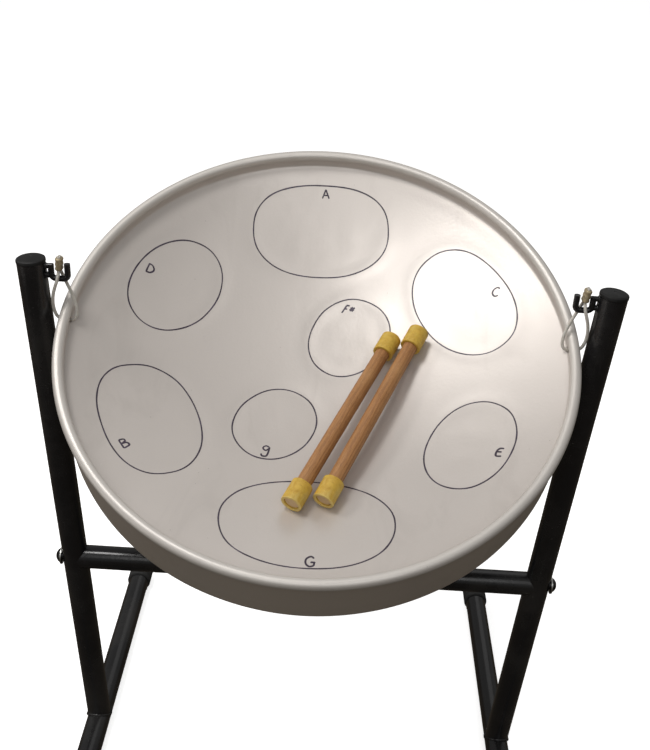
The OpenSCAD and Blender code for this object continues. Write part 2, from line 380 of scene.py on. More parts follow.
def moulded_plastic(name, colour, roughness):
    """Fine-grained moulded black plastic with greyed high spots."""
    f = Finish(name, colour, roughness)
    grain = f.noise(1500, 3, 0.6)
    haze = f.noise(120, 5, 0.6)
    f.tint(f.span(haze, 0.5, 0.75, 0.0, 0.5), tuple(c * 1.8 + 0.004 for c in colour[:3]) + (1,))
    f.set("Specular IOR Level", 0.25)
    marks = f.noise(1, 5, 0.7, f.stretched((1400, 120, 500), turn=(0.3, 0.2, 0.9)))
    f.tint(f.span(marks, 0.70, 0.77, 0.0, 0.4), (0.13, 0.125, 0.12, 1))
    f.set("Roughness", f.span(haze, 0.3, 0.7, roughness - 0.08, roughness + 0.12))
    f.bump(grain, 0.25, 0.0003)
    return f.material


def steel(name, colour, roughness):
    """Turned or plated steel with fine circular marks and dull patches."""
    f = Finish(name, colour, roughness, Metallic=1.0)
    patches = f.noise(300, 5, 0.6)
    f.tint(f.span(patches, 0.45, 0.7, 0.0, 0.6), tuple(c * 0.55 for c in colour[:3]) + (1,))
    f.set("Roughness", f.span(patches, 0.3, 0.7, roughness - 0.08, roughness + 0.14))
    f.bump(f.noise(1, 2, 0.5, f.stretched((5200, 700, 700))), 0.2, 0.0002)
    return f.material


def foot_rubber():
    """Matt black rubber, dusty near the floor."""
    f = Finish("foot_rubber", (0.018, 0.018, 0.018, 1), 0.72)
    low = f.span(f.axis("Z"), 0.0, 0.012, 0.55, 0.0)
    dirt = f.math("MULTIPLY", low, f.noise(320, 5, 0.7))
    f.tint(dirt, (0.19, 0.17, 0.145, 1))
    bloom = f.noise(90, 4, 0.6)
    f.tint(f.span(bloom, 0.48, 0.72, 0.0, 0.5), (0.045, 0.044, 0.043, 1))
    f.set("Roughness", f.span(bloom, 0.3, 0.7, 0.62, 0.86))
    f.bump(f.noise(1100, 4, 0.6), 0.35, 0.0004)
    return f.material


def oiled_wood():
    """Straight-grained yellow-brown dowel, its grain along the local X axis, its ends paler."""
    f = Finish("oiled_wood", srgb(170, 120, 72), 0.55)
    rings = f.add("TexWave", {"wave_type": "RINGS", "rings_direction": "X"},
                  {"Vector": f.stretched((0.35, 1, 1), (0.0, 0.016, 0.009)), "Scale": 120,
                   "Distortion": 3.0, "Detail": 3, "Detail Scale": 1.6}).outputs["Fac"]
    f.tint(f.span(rings, 0.35, 0.95, 0.0, 0.50), srgb(134, 88, 46))
    fibre = f.noise(1, 6, 0.7, f.stretched((26, 1500, 1500)))
    f.tint(f.span(fibre, 0.42, 0.72, 0.0, 0.62), srgb(118, 78, 40))
    pores = f.noise(1, 3, 0.6, f.stretched((300, 2800, 2800)))
    pore = f.span(pores, 0.58, 0.70)
    f.tint(f.math("MULTIPLY", pore, 0.70), srgb(84, 54, 30))
    pale = f.noise(1, 3, 0.6, f.stretched((340, 2400, 2400), (0.3, 0.2, 0.1)))
    f.tint(f.span(pale, 0.58, 0.72, 0.0, 0.45), srgb(206, 162, 112))
    handled = f.noise(38, 4, 0.55)
    f.tint(f.span(handled, 0.5, 0.75, 0.0, 0.30), srgb(194, 150, 98))
    cut = f.span(f.math("ABSOLUTE", f.axis("X")), STICK_END - 0.5 * MM, STICK_END - 0.1 * MM)
    f.tint(f.math("MULTIPLY", cut, 0.8), srgb(214, 186, 142))
    f.set("Roughness", f.span(fibre, 0.3, 0.8, 0.50, 0.72))
    f.bump(fibre, 0.22, 0.0003)
    f.bump(f.math("SUBTRACT", 1.0, pore), 0.30, 0.0002)
    return f.material


def tip_rubber():
    """Mustard rubber tube, mottled and rubbed, paler on its cut ends."""
    f = Finish("tip_rubber", srgb(204, 168, 66), 0.55, Subsurface_Weight=0.08,
               Subsurface_Radius=(0.004, 0.002, 0.001), Subsurface_Scale=0.5)
    mottle = f.noise(190, 5, 0.65)
    f.tint(f.span(mottle, 0.42, 0.66, 0.0, 0.75), srgb(180, 138, 46))
    patches = f.noise(1, 4, 0.6, f.stretched((60, 130, 130)))
    f.tint(f.span(patches, 0.52, 0.70, 0.0, 0.6), srgb(212, 188, 108))
    dirt = f.noise(640, 4, 0.7)
    f.tint(f.span(dirt, 0.60, 0.72, 0.0, 0.55), srgb(128, 92, 34))
    reach = f.math("ABSOLUTE", f.axis("X"))
    cut = f.span(reach, TIP_END - 0.9 * MM, TIP_END - 0.4 * MM)
    f.tint(f.math("MULTIPLY", cut, 0.5), srgb(226, 204, 130))
    f.set("Roughness", f.span(mottle, 0.3, 0.7, 0.48, 0.70))
    f.bump(f.noise(900, 4, 0.6), 0.30, 0.0004)
    f.bump(mottle, 0.25, 0.0008)
    return f.material


def cord_coat():
    """Milky plastic over the cord's core, a little grubby."""
    f = Finish("cord_coat", srgb(222, 218, 210), 0.34, Transmission_Weight=0.18, IOR=1.45,
               Subsurface_Weight=0.2, Subsurface_Radius=(0.002, 0.0018, 0.0015))
    haze = f.noise(420, 4, 0.6)
    f.tint(f.span(haze, 0.45, 0.7, 0.0, 0.6), srgb(190, 182, 170))
    grime = f.noise(160, 5, 0.7)
    f.tint(f.span(grime, 0.55, 0.72, 0.0, 0.5), srgb(138, 126, 110))
    f.set("Roughness", f.span(haze, 0.3, 0.7, 0.26, 0.48))
    f.bump(f.noise(700, 3, 0.5), 0.12, 0.0003)
    return f.material


def cord_core():
    """The cord's stranded core."""
    f = Finish("cord_core", srgb(150, 150, 146), 0.4, Metallic=0.6)
    shade = f.noise(900, 4, 0.6)
    f.tint(f.span(shade, 0.4, 0.7, 0.0, 0.6), srgb(92, 90, 84))
    f.bump(shade, 0.3, 0.0002)
    return f.material


def ferrule():
    """Dull beige pressed metal with tool marks."""
    f = Finish("ferrule", srgb(168, 155, 126), 0.55, Metallic=0.4)
    stain = f.noise(260, 5, 0.65)
    f.tint(f.span(stain, 0.42, 0.68, 0.0, 0.8), srgb(136, 116, 88))
    marks = f.noise(1, 4, 0.6, f.stretched((500, 500, 3200)))
    f.tint(f.span(marks, 0.58, 0.72, 0.0, 0.45), srgb(214, 204, 184))
    f.set("Roughness", f.span(stain, 0.3, 0.7, 0.40, 0.66))
    f.bump(marks, 0.3, 0.0003)
    f.bump(stain, 0.25, 0.0006)
    return f.material


def marker_ink():
    """Purple-black pen line that thins out in places."""
    f = Finish("marker_ink", srgb(54, 44, 58), 0.42)
    worn = f.noise(70, 5, 0.7)
    f.tint(f.span(worn, 0.50, 0.80, 0.0, 0.75), srgb(104, 92, 112))
    streak = f.noise(900, 3, 0.6)
    f.tint(f.span(streak, 0.5, 0.8, 0.0, 0.4), srgb(84, 74, 92))
    f.set("Roughness", f.span(streak, 0.3, 0.7, 0.30, 0.50))
    return f.material


SILVER = srgb(207, 200, 194)
BOWL_PAINT = silver_paint("bowl_paint", SILVER, 0.37, 1.0)
# The skirt's silver is a darker, warmer copy of the bowl's: painted shade for the skirt, which
# faces down.
SKIRT_SHADED_SILVER = silver_paint("skirt_shaded_silver", srgb(200, 191, 181), 0.38, 1.3)
RIM_PAINT = silver_paint("rim_paint", srgb(208, 203, 197), 0.43, 0.8)
BLACK_ENAMEL = enamel("black_enamel", 0.5)
HOOK_ENAMEL = enamel("hook_enamel", 1.0)
CAP_PLASTIC = moulded_plastic("cap_plastic", (0.009, 0.009, 0.009, 1), 0.50)
INSERT_PLASTIC = moulded_plastic("insert_plastic", (0.030, 0.030, 0.031, 1), 0.5)
BOLT_STEEL = steel("bolt_steel", (0.06, 0.06, 0.062, 1), 0.36)
WASHER_STEEL = steel("washer_steel", (0.52, 0.52, 0.50, 1), 0.30)
FOOT_RUBBER = foot_rubber()
WOOD = oiled_wood()
TIP_RUBBER = tip_rubber()
CORD_COAT = cord_coat()
CORD_CORE = cord_core()
FERRULE = ferrule()
INK = marker_ink()


# ---------------------------------------------------------------- pan
def note_distance(note, x, y):
    """(distance from the note's outline, inwards positive, and its share of the way out)."""
    away, direction, out_half, across_half, square, wider, _letter = note
    turn = math.radians(direction)
    dx, dy = x / MM - away * math.cos(turn), y / MM - away * math.sin(turn)
    out = (dx * math.cos(turn) + dy * math.sin(turn)) / out_half
    across = (dy * math.cos(turn) - dx * math.sin(turn)) / across_half
    across = across / (1 + wider * out)
    share = (abs(out) ** square + abs(across) ** square) ** (1 / square)
    return (1 - share) * math.sqrt(out_half * across_half) * MM, share


def relief(x, y):
    """How far the sheet stands above the plain dish: a dip round each note, and fine dents."""
    point = Vector((x, y, 0))
    height = 0.10 * MM * (noise.noise(point / (48 * MM)) - 1)
    for note in NOTES.values():
        inside, share = note_distance(note, x, y)
        if abs(inside) > 4 * RIM_OF_NOTE_WIDTH and share > 1:
            continue
        height -= RIM_OF_NOTE_DEPTH * math.exp(-(inside / RIM_OF_NOTE_WIDTH) ** 2)
        if share < 1:
            dents = noise.noise(point / (15 * MM) + Vector((3, 7, 1)))
            height += 0.11 * MM * dents * (1 - share ** 4)
    return height


def dish_point(x, y, lift):
    """A point of the playing surface, lift above it, in the pan's frame."""
    r2 = x * x + y * y
    base = Vector((x, y, DISH_Z - math.sqrt(DISH_R ** 2 - r2)))
    normal = (Vector((0, 0, DISH_Z)) - base).normalized()
    fade = 1 - max(0.0, min(1.0, (math.sqrt(r2) - RELIEF_R) / RELIEF_FADE))
    return base + normal * (relief(x, y) * fade + lift)


def bowl_solid():
    """The playing bowl: the dish with its notes, and the short wall up into the rim."""
    slope = math.asin(WALL_R / DISH_R)
    turn = math.pi / 2 - slope
    reach = FILLET_R * math.tan(turn / 2)
    dish_end = (WALL_R - reach * math.cos(slope)) * 0.9995
    fillet = (WALL_R - FILLET_R, -WALL_DROP + reach)
    dish_rows = 118
    radii = [dish_end * (i / dish_rows) ** 0.92 for i in range(1, dish_rows + 1)]
    inner, outer = [[dish_point(0, 0, 0)]], [[dish_point(0, 0, -SHEET)]]
    turns = [2 * math.pi * i / PAN_STEPS for i in range(PAN_STEPS)]
    for r in radii:
        spots = [(r * math.cos(a), r * math.sin(a)) for a in turns]
        top = [dish_point(x, y, 0) for x, y in spots]
        inner.append(top)
        middle = Vector((0, 0, DISH_Z))
        outer.append([p + (p - middle).normalized() * SHEET for p in top])
    profile = []
    fillet_steps = 6
    for i in range(1, fillet_steps + 1):
        a = -turn * (1 - i / fillet_steps)
        profile.append((math.cos(a), math.sin(a)))
    x, y = fillet
    wall = [(x + FILLET_R * c, y + FILLET_R * s) for c, s in profile]
    back = [(x + (FILLET_R + SHEET) * c, y + (FILLET_R + SHEET) * s) for c, s in profile]
    top_z = -3.4 * MM
    wall += [(WALL_R, wall[-1][1] * 0.5 + top_z * 0.5), (WALL_R, top_z)]
    back += [(WALL_R + SHEET, back[-1][1] * 0.5 + top_z * 0.5), (WALL_R + SHEET, top_z)]
    for r, z in wall:
        inner.append([(r * math.cos(a), r * math.sin(a), z) for a in turns])
    for r, z in back:
        outer.append([(r * math.cos(a), r * math.sin(a), z) for a in turns])
    return skin(inner + outer[::-1])


def cord_hole_cutters():
    """Rods through the wall and skirt where the cords pass, in the pan's frame."""
    cutters = []
    steps = 40
    for side in SIDES.values():
        rings = []
        for x in (WALL_R - 8 * MM, SKIRT_R + 8 * MM):
            turns = (2 * math.pi * i / steps for i in range(steps))
            rings.append([(side * x, HOLE_BACK + HOLE_R * math.cos(a),
                           -HOLE_DROP + HOLE_R * math.sin(a) * side) for a in turns])
        cutters.append(skin(rings))
    return cutters


def rim_solid():
    """The rolled rim: a bead with the curled sheet's edge showing as a groove underneath."""
    profile = []
    steps = 44
    for i in range(steps):
        a = 2 * math.pi * i / steps
        groove = 0.55 * MM * math.exp(-((math.degrees(a) - 262) / 9) ** 2)
        profile.append((RING_R + (BEAD_R - groove) * math.cos(a), (BEAD_R - groove) * math.sin(a)))
    return revolve(profile, PAN_STEPS, loop=True)


def skirt_solid():
    """The skirt: rolled sheet with a rounded lower edge and a ground weld seam at the back."""
    section = [(SKIRT_R - SHEET, -SKIRT_DEPTH), (SKIRT_R, -SKIRT_DEPTH),
               (SKIRT_R, -1 * MM), (SKIRT_R - SHEET, -1 * MM)]
    profile = [tuple(p) for p in soften(section, 0.5 * MM, loop=True)]
    lower = 2 * CORNER_POINTS
    outer = [(SKIRT_R, -SKIRT_DEPTH * k / 8) for k in range(7, 0, -1)]
    profile = profile[:lower] + outer + profile[lower:]
    verts, faces = revolve(profile, PAN_STEPS, loop=True)
    seamed = []
    for x, y, z in verts:
        away = math.hypot(x, y)
        seam = math.exp(-((math.atan2(x, y) * SKIRT_R) / (1.4 * MM)) ** 2) if y > 0 else 0
        wave = 0.10 * MM * (noise.noise(Vector((x, y, z)) / (55 * MM)) - 1)
        change = (wave - 0.25 * MM * seam) if away > SKIRT_R - 0.3 * MM else 0
        seamed.append((x * (1 + change / away), y * (1 + change / away), z))
    return seamed, faces


def note_outline(note):
    """Points round a note's outline, in the pan's plane, with a hand-drawn waver."""
    away, direction, out_half, across_half, square, wider, _letter = note
    turn = math.radians(direction)
    steps = 150
    line = []
    for i in range(steps):
        a = 2 * math.pi * i / steps
        out = math.copysign(abs(math.cos(a)) ** (2 / square), math.cos(a))
        across = math.copysign(abs(math.sin(a)) ** (2 / square), math.sin(a))
        across *= 1 + wider * out
        waver = 1 + 0.010 * noise.noise(Vector((2 * math.cos(a), 2 * math.sin(a), direction)))
        u, v = away + out * out_half * waver, across * across_half * waver
        line.append(Vector((u * math.cos(turn) - v * math.sin(turn),
                            u * math.sin(turn) + v * math.cos(turn))) * MM)
    return line


def even_line(line, step, loop):
    """The same line with points a fixed step apart."""
    path = line + line[:1] if loop else line
    lengths = [(b - a).length for a, b in zip(path, path[1:])]
    count = max(2, round(sum(lengths) / step))
    even, index, passed = [], 0, 0.0
    for k in range(count if loop else count + 1):
        want = sum(lengths) * k / count
        while index < len(lengths) - 1 and passed + lengths[index] < want:
            passed += lengths[index]
            index += 1
        share = (want - passed) / max(lengths[index], 1e-9)
        even.append(path[index].lerp(path[index + 1], min(share, 1.0)))
    return even


def ink_line(line, width, loop):
    """A pen line as a thin closed ribbon that lies on the playing surface."""
    line = even_line(line, 1.3 * MM if loop else 0.5 * MM, loop)
    count = len(line)
    rings = []
    for i, spot in enumerate(line):
        after = line[(i + 1) % count] if loop else line[min(i + 1, count - 1)]
        before = line[i - 1] if loop or i else line[0]
        along = (after - before).normalized()
        half = width / 2 * (1 + 0.25 * noise.noise(Vector((spot.x, spot.y, width)) / (9 * MM)))
        if not loop:
            half *= 0.55 if i in (0, count - 1) else 1.0
        side = Vector((-along.y, along.x)) * half
        a, b = spot + side, spot - side
        rings.append([dish_point(a.x, a.y, INK_PROUD), dish_point(b.x, b.y, INK_PROUD),
                      dish_point(b.x, b.y, -0.2 * MM), dish_point(a.x, a.y, -0.2 * MM)])
    return skin(rings, loop)


# Each letter's pen strokes in a box one unit high: smooth ones are drawn as curves.
LETTERS = {
    "A": [(False, [(0.0, 0.0), (0.38, 1.0), (0.42, 1.0), (0.82, 0.0)]),
          (False, [(0.16, 0.36), (0.68, 0.38)])],
    "B": [(False, [(0.06, 0.0), (0.08, 1.0)]),
          (True, [(0.08, 1.0), (0.50, 0.96), (0.56, 0.72), (0.14, 0.54)]),
          (True, [(0.14, 0.54), (0.60, 0.50), (0.68, 0.16), (0.06, 0.0)])],
    "C": [(True, [(0.66, 0.86), (0.40, 1.0), (0.08, 0.70), (0.06, 0.28), (0.36, 0.0),
                  (0.68, 0.14)])],
    "D": [(False, [(0.08, 0.02), (0.08, 0.98)]),
          (True, [(0.02, 0.98), (0.44, 0.94), (0.72, 0.52), (0.46, 0.08), (0.02, 0.02)])],
    "E": [(True, [(0.66, 0.98), (0.34, 0.96), (0.12, 0.72), (0.04, 0.30), (0.14, 0.02),
                  (0.58, 0.06)]), (False, [(0.10, 0.52), (0.52, 0.56)])],
    "F": [(False, [(0.00, -0.05), (0.30, 0.94)]), (False, [(0.26, 0.94), (0.62, 0.98)]),
          (False, [(0.15, 0.50), (0.46, 0.54)])],
    "#": [(False, [(0.12, 0.36), (0.28, 0.92)]), (False, [(0.32, 0.36), (0.48, 0.92)]),
          (False, [(0.06, 0.74), (0.58, 0.78)]), (False, [(0.00, 0.52), (0.52, 0.56)])],
    "G": [(True, [(0.68, 0.82), (0.42, 1.0), (0.08, 0.72), (0.06, 0.28), (0.34, 0.0),
                  (0.68, 0.12), (0.72, 0.42)]), (False, [(0.42, 0.42), (0.82, 0.44)])],
    "g": [(True, [(0.58, 0.92), (0.30, 1.0), (0.10, 0.76), (0.34, 0.56), (0.58, 0.80),
                  (0.60, 0.92), (0.58, 0.40), (0.48, 0.04), (0.16, 0.0), (0.06, 0.20)])],
}
LETTER_STEP = 0.68
LETTER_HALF = 0.36


def letter_lines(text, x, y, turn, height):
    """The pen strokes of a note's letters, in the pan's plane, centred on x, y."""
    spin = Matrix.Rotation(math.radians(turn), 2)
    lines = []
    for place, letter in enumerate(text):
        for smooth, stroke in LETTERS[letter]:
            line = catmull(stroke, 6) if smooth else [Vector(p) for p in stroke]
            shift = Vector((place * LETTER_STEP - LETTER_HALF * len(text), -0.5))
            lines.append([(spin @ (p + shift)) * height * MM + Vector((x, y)) * MM for p in line])
    return lines


def build_pan():
    bowl = piece("bowl_sheet", bowl_solid(), "pan", BOWL_PAINT, PAN,
                 ["playing_bowl"], sharp=50)
    skirt = piece("skirt_band", skirt_solid(), "pan", SKIRT_SHADED_SILVER, PAN, ["skirt"])
    for sheet in (bowl, skirt):
        drill(sheet, cord_hole_cutters())
    piece("rim_roll", rim_solid(), "pan", RIM_PAINT, PAN, ["rolled_rim"], sharp=60)
    for name, note in NOTES.items():
        outline = ink_line(note_outline(note), INK_WIDTH, loop=True)
        piece(f"outline_{name}", outline, "pan", INK, PAN)
        text, x, y, turn, height = note[-1]
        strokes = [ink_line(line, PEN_WIDTH, loop=False)
                   for line in letter_lines(text, x, y, turn, height)]
        piece(f"letter_{name}", join(*strokes), "pan", INK, PAN)


# ---------------------------------------------------------------- cords and ferrules
CORD_R = 1.3 * MM
# A ferrule's length, its height above the hook's rod, and its strands' places, in millimetres
CRIMP_LEN = 10
CRIMP_Z = 7.5
STRAND_Y = 1.4
# How far each ferrule leans away from the pan, in degrees
FERRULE_LEAN = {"left": -4, "right": 8}
# The loop below its ferrule, in millimetres from the hook's rod, +X away from the pan's middle.
LOOP_BELOW = [
    (0.4, -3.4, 3.6), (1.2, -4.4, 0), (2.6, -4.6, -4), (4.6, -4.2, -10), (5.8, -3.4, -16),
    (6.2, -2.4, -22), (5.7, -1.4, -27.4), (4.2, -0.6, -31.8), (1.4, -0.1, -34), (-2, 0, -34.5),
    (-6.5, 0, -34.5), (-9.4, 0, -33.4), (-10.9, 0.2, -30.4), (-11.1, 0.6, -26),
    (-10.2, 1.3, -20.5), (-7.8, 2.4, -13.5), (-4.6, 3.6, -6.5), (-1.9, 4.5, -0.6),
    (-0.6, 3.8, 3.6)
]


def loop_line(name, steps):
    """The cord's centre line in the shared frame."""
    side, lean = SIDES[name], math.radians(FERRULE_LEAN[name])
    rod = Vector(JOINTS["right_loop_swing"]["pos_m"])
    strands = []
    for y, reach in ((-STRAND_Y, (CRIMP_LEN + 1, 4, 0)), (STRAND_Y, (0, 4, CRIMP_LEN + 1))):
        strands.append([(up * math.sin(lean), y, CRIMP_Z + up * math.cos(lean)) for up in reach])
    route = strands[0] + LOOP_BELOW + strands[1]
    points = [Vector((side * (rod.x + x * MM), y * MM, rod.z + z * MM)) for x, y, z in route]
    return catmull(points, steps)


def twisted_core(line):
    """Three thin strands laid round the cord's centre line."""
    lay, off_centre, strand_r = 5 * MM, 0.36 * MM, 0.34 * MM
    strands = []
    for k in range(3):
        across, passed, path = Vector((1, 0, 0)), 0.0, []
        for i, point in enumerate(line):
            after, before = line[min(i + 1, len(line) - 1)], line[max(i - 1, 0)]
            along = (after - before).normalized()
            across = (across - along * across.dot(along)).normalized()
            passed += (point - line[max(i - 1, 0)]).length
            a = 2 * math.pi * (passed / lay + k / 3)
            out = across * math.cos(a) + along.cross(across) * math.sin(a)
            path.append(point + out * off_centre)
        strands.append(sweep(path, strand_r, 6))
    return join(*strands)


def crimp_solid():
    """A double ferrule with rounded ends and two pressed waists, standing on its base."""
    half_x, half_y = 3.0 * MM, 4.4 * MM
    rings = []
    steps = 30
    for i in range(steps + 1):
        up = CRIMP_LEN * i / steps
        end = min(up, CRIMP_LEN - up) / 1.1
        edge = 1 - 0.20 * (1 - min(end, 1)) ** 2
        press = sum(math.exp(-((up - at) / 0.85) ** 2) for at in (3.1, 6.9))
        turns = [2 * math.pi * k / 40 for k in range(40)]
        ring = []
        for a in turns:
            c, s = math.cos(a), math.sin(a)
            x = half_x * edge * (1 - 0.16 * press) * math.copysign(abs(c) ** 0.85, c)
            y = half_y * edge * math.copysign(abs(s) ** 0.85, s)
            waist = 1 - 0.10 * math.exp(-(y / (1.0 * MM)) ** 2)
            ring.append((x * waist, y, up * MM))
        rings.append(ring)
    return skin(rings)


def build_cords():
    for name, side in SIDES.items():
        body = f"{name}_loop"
        cord = sweep(loop_line(name, 6), CORD_R, 20)
        piece(f"{name}_cord", cord, body, CORD_COAT, None, [f"{name}_cord_loop"],
              sharp=60)
        core = twisted_core(loop_line(name, 10))
        piece(f"{name}_cord_core", core, body, CORD_CORE, None, (), sharp=60)
        rod = Vector(JOINTS[f"{name}_loop_swing"]["pos_m"])
        lean = Matrix.Rotation(math.radians(side * FERRULE_LEAN[name]), 4, "Y")
        place = Matrix.Translation(rod + Vector((0, 0, CRIMP_Z * MM))) @ lean
        piece(f"{name}_ferrule", crimp_solid(), body, FERRULE, place,
              [f"{name}_crimp"], sharp=55)


# ---------------------------------------------------------------- mallets
STICK_R = 6 * MM
TIP_R = 8.5 * MM
TIP_LEN = 19 * MM
TIP_REACH = 1.5 * MM


def mallet_place(side):
    """(the mallet's own frame, with +X along the stick, and half its length)."""
    ends = []
    for end in ("front", "back"):
        low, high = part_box(f"{side}_mallet_{end}_tip")
        ends.append((low + high) / 2)
    along = (ends[1] - ends[0]).normalized()
    up = (PAN_AXIS - along * PAN_AXIS.dot(along)).normalized()
    turn = Matrix((along, up.cross(along), up)).transposed().to_4x4()
    half = (ends[1] - ends[0]).length / 2 + TIP_LEN / 2
    return Matrix.Translation((ends[0] + ends[1]) / 2) @ turn, half


LIE_ALONG_X = Matrix.Rotation(math.radians(90), 4, "Y")


def lathe_x(profile, steps, loop=False):
    """A solid of revolution about X from (radius, place) points."""
    verts, faces = revolve(profile, steps, loop)
    return [LIE_ALONG_X @ Vector(v) for v in verts], faces


def stick_solid(half):
    """The dowel, with eased ends and the slight unevenness of sanded wood."""
    length = half - TIP_REACH
    ease = 0.5 * MM
    ends = [(0, -length), (STICK_R - ease, -length), (STICK_R, -length + ease)]
    steps = 36
    middle = []
    for i in range(1, steps):
        x = -length + 2 * length * i / steps
        middle.append((STICK_R - 0.10 * MM * (0.5 + 0.5 * noise.noise(Vector((x * 60, 0, 0)))), x))
    far = [(STICK_R, length - ease), (STICK_R - ease, length), (0, length)]
    return lathe_x(ends + middle + far, 48)


def tip_solid(end, half, seed):
    """A cut length of rubber tube, its ends slightly uneven and its rim rounded."""
    inner = STICK_R - 0.02 * MM
    section = [(inner, -TIP_LEN / 2), (TIP_R, -TIP_LEN / 2), (TIP_R, TIP_LEN / 2),
               (inner, TIP_LEN / 2)]
    profile = [tuple(p) for p in soften(section, 0.7 * MM, loop=True)]
    first = 2 * CORNER_POINTS
    outer = [(TIP_R, TIP_LEN * (k / 8 - 0.5)) for k in range(2, 7)]
    profile = profile[:first] + outer + profile[first:]
    verts, faces = lathe_x(profile, 56, loop=True)
    shaped = []
    for v in verts:
        a = math.atan2(v.z, v.y)
        way = Vector((math.cos(a), math.sin(a), seed))
        cut = 0.30 * MM * noise.noise(way * 1.3) * (2 * v.x / TIP_LEN)
        swell = -0.12 * MM * (0.5 + 0.5 * noise.noise(Vector((v.x * 160, a, seed))))
        away = math.hypot(v.y, v.z)
        grow = 1 + (swell / away if away > 7.5 * MM else 0)
        x = v.x - abs(cut) * math.copysign(1, v.x) + end * (half - TIP_LEN / 2)
        shaped.append((x, v.y * grow, v.z * grow))
    return shaped, faces


def build_mallets():
    for seed, side in enumerate(SIDES):
        place, half = mallet_place(side)
        body = f"{side}_mallet"
        piece(f"{side}_stick", stick_solid(half), body, WOOD, place,
              [f"{side}_mallet_stick"])
        for end_name, end in (("front", -1), ("back", 1)):
            piece(f"{side}_{end_name}_sleeve", tip_solid(end, half, 3 * seed + end), body,
                  TIP_RUBBER, place, [f"{side}_mallet_{end_name}_tip"])


# ---------------------------------------------------------------- stand
POST_R = 11 * MM
POST_LEAN = math.radians(3)
CAP_DOME = 1.6 * MM
STUB_R = 2.2 * MM
# Depths of the hook's two stubs below the top of its long leg
STUB_DROPS = (2.4 * MM, 10 * MM)
FOOT_R = 13 * MM


def post_line(name):
    """(top of the post's axis, direction down it)."""
    cap_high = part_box(f"{name}_post_cap")[1]
    bar_low, bar_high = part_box(f"{name}_foot_bar")
    foot = (bar_low + bar_high) / 2
    lean = POST_LEAN * SIDES[name]
    up = Vector((math.sin(lean), 0, math.cos(lean)))
    top = foot + up * ((cap_high.z - CAP_DOME - foot.z) / up.z)
    return top, up


def cap_solid():
    """A push-in end cap: domed top with a gate mark, rounded lip and a plug below."""
    lip, stub, bore = 3 * MM, 14 * MM, 9.4 * MM
    rim = POST_R + 0.3 * MM
    profile = [(0, 1.25 * MM), (0.9 * MM, 1.27 * MM), (1.3 * MM, 1.58 * MM)]
    for i in range(1, 9):
        r = 1.3 * MM + (POST_R - 2.2 * MM) * i / 8
        profile.append((r, 1.58 * MM * (1 - (r / (POST_R + 0.4 * MM)) ** 2) + 0.02 * MM))
    profile += [(rim - 0.9 * MM, 0.12 * MM), (rim - 0.25 * MM, -0.25 * MM), (rim, -0.9 * MM),
                (rim, -lip + 0.5 * MM), (rim - 0.4 * MM, -lip), (bore, -lip),
                (bore, -lip - stub + 1 * MM), (bore - 1 * MM, -lip - stub), (0, -lip - stub)]
    return revolve(profile, 72)


def weld_bead(line, size):
    """A closed run of weld with its ripples."""
    return sweep(line, lambda i: size * (0.82 + 0.18 * abs(math.sin(i * 0.9))), 10, loop=True)


def foot_joint_line(name):
    """The saddle where a post lands on its foot bar, kept just above the bar's axis."""
    low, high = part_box(f"{name}_foot_bar")
    middle = (low + high) / 2
    lean = math.tan(POST_LEAN) * SIDES[name]
    line = []
    steps = 120
    for i in range(steps):
        a = 2 * math.pi * i / steps
        rise = POST_R * math.sqrt(math.sin(a) ** 2 * 0.96 + 0.04)
        line.append(middle + Vector((POST_R * math.cos(a) + lean * rise,
                                     POST_R * math.sin(a), rise)))
    return line


def stub_joint_line(name, z):
    """The ring where a hook's stub meets its post."""
    top, up = post_line(name)
    side = SIDES[name]
    line = []
    steps = 28
    for i in range(steps):
        a = 2 * math.pi * i / steps
        y, dz = STUB_R * math.cos(a), STUB_R * math.sin(a)
        axis = top + up * ((z + dz - top.z) / up.z)
        line.append(Vector((axis.x - side * math.sqrt(POST_R ** 2 - y * y), y, z + dz)))
    return line


def foot_outline(grow):
    """The rubber foot's cross-section: round above, with a flat pad below."""
    pad = 9 * MM
    corners = [(-pad, 0), (-pad, -FOOT_R), (pad, -FOOT_R), (pad, 0)]
    line = soften(corners, 1.6 * MM)[1:-1]
    reach = math.acos(pad / FOOT_R)
    arc_steps = 30
    for i in range(arc_steps + 1):
        a = -reach * 0.98 + (math.pi + 1.96 * reach) * i / arc_steps
        line.append(Vector((FOOT_R * math.cos(a), FOOT_R * math.sin(a))))
    return [Vector((p.x * grow, max(p.y * grow, -FOOT_R))) for p in line]


def foot_solid(name, end_name):
    """A rubber foot with a rounded closed end and three shallow ribs, in the shared frame."""
    low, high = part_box(f"{name}_{end_name}_foot")
    middle = (low + high) / 2
    end = 1 if end_name == "rear" else -1
    length = high.y - low.y
    rings = []
    steps = 46
    for i in range(steps + 1):
        at = length * i / steps
        closed = max(0.0, 1 - (length - at) / (3.2 * MM))
        opened = max(0.0, 1 - at / (1.0 * MM))
        grow = 1 - 0.14 * closed ** 2.2 - 0.05 * opened ** 2
        groove = sum(math.exp(-((at - k * MM) / (0.55 * MM)) ** 2) for k in (5, 8.5, 12))
        grow -= 0.035 * min(groove, 1)
        y = middle.y + end * (at - length / 2)
        rings.append([(middle.x + p.x, y, FOOT_R + p.y) for p in foot_outline(grow)])
    return skin(rings)


def finish_cad(name, material):
    """A CAD node that stays as it is gets its material."""
    node = frame["nodes"][name]
    node.data.materials.clear()
    node.data.materials.append(material)


